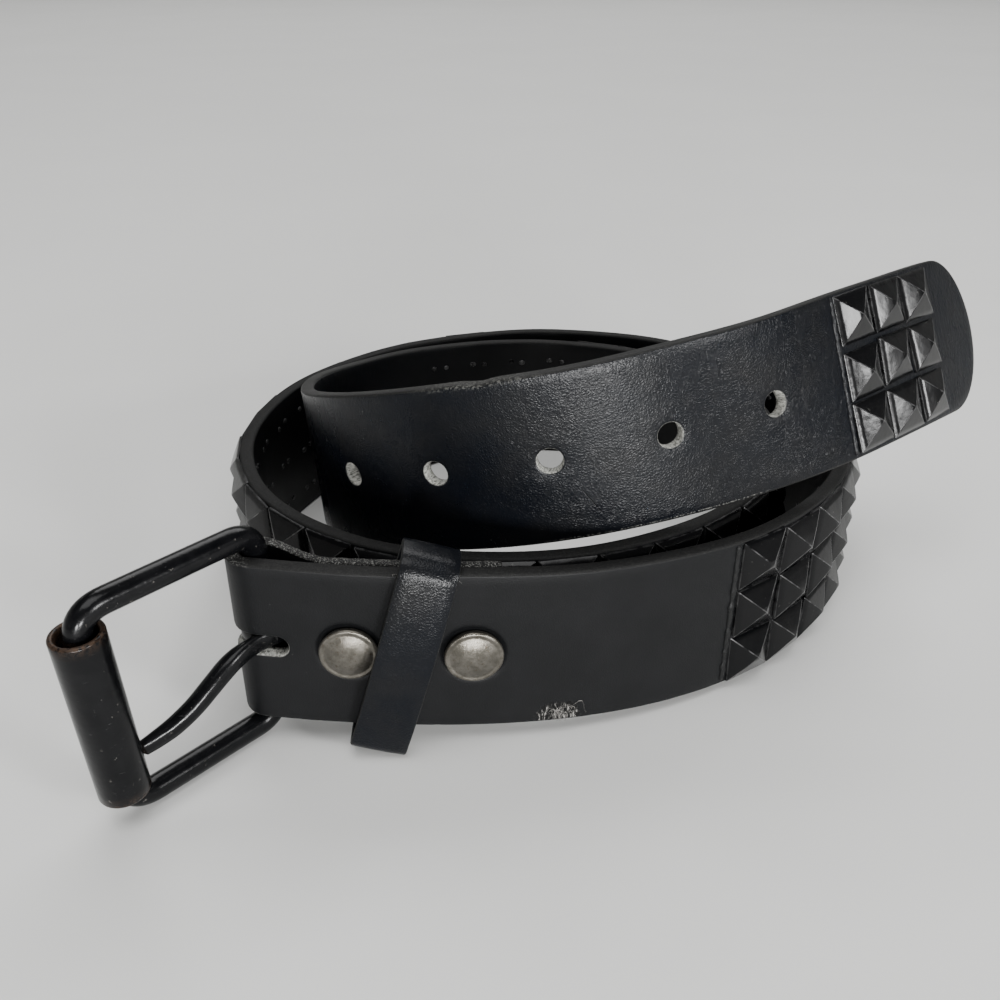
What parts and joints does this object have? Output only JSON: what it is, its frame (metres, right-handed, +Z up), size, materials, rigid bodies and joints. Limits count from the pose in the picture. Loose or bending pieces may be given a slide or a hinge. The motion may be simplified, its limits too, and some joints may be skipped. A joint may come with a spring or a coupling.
{
  "type": "studded belt",
  "caption": "Black leather belt with rows of pyramid studs, a roller buckle, a keeper loop and a punched tip, coiled and standing on its edge.",
  "frame": {"origin": "middle of the belt's outline seen from above, at the height of the floor it stands on", "axes": "+Z up across the strap's width; +X to the right along the front run of the strap, from the buckle to the studs; +Y away from the front, into the coil"},
  "size_m": [0.2014, 0.1816, 0.0812],
  "materials": {
    "black_leather": "satin, fine creased grain",
    "stud_finish": "semi-gloss black with worn ridges",
    "snap_nickel": "tarnished nickel",
    "buckle_enamel": "gloss black, lightly scratched"
  },
  "bodies": {
    "belt": {"strap": "black_leather", "stud_field_outer": "stud_finish", "stud_field_inner": "stud_finish", "tip_studs": "stud_finish", "snap_cap_1": "snap_nickel", "snap_cap_2": "snap_nickel", "keeper_loop": "black_leather"},
    "frame": {"buckle_frame": "buckle_enamel"},
    "roller": {"roller": "buckle_enamel"},
    "tongue": {"tongue": "buckle_enamel"}
  },
  "joints": [
    {"name": "buckle_hinge", "type": "hinge", "parent": "belt", "child": "frame", "pos_m": [-0.07066, -0.05801, 0.0258], "axis": [0, 0, 1], "range_deg": [-70, 15]},
    {"name": "tongue_hinge", "type": "hinge", "parent": "frame", "child": "tongue", "pos_m": [-0.07066, -0.05801, 0.0258], "axis": [0, 0, 1], "range_deg": [0, 30]},
    {"name": "roller_spin", "type": "hinge", "parent": "frame", "child": "roller", "pos_m": [-0.09515, -0.08521, 0.0258], "axis": [-0.0292, -0.0324, 0.999], "continuous": true}
  ]
}
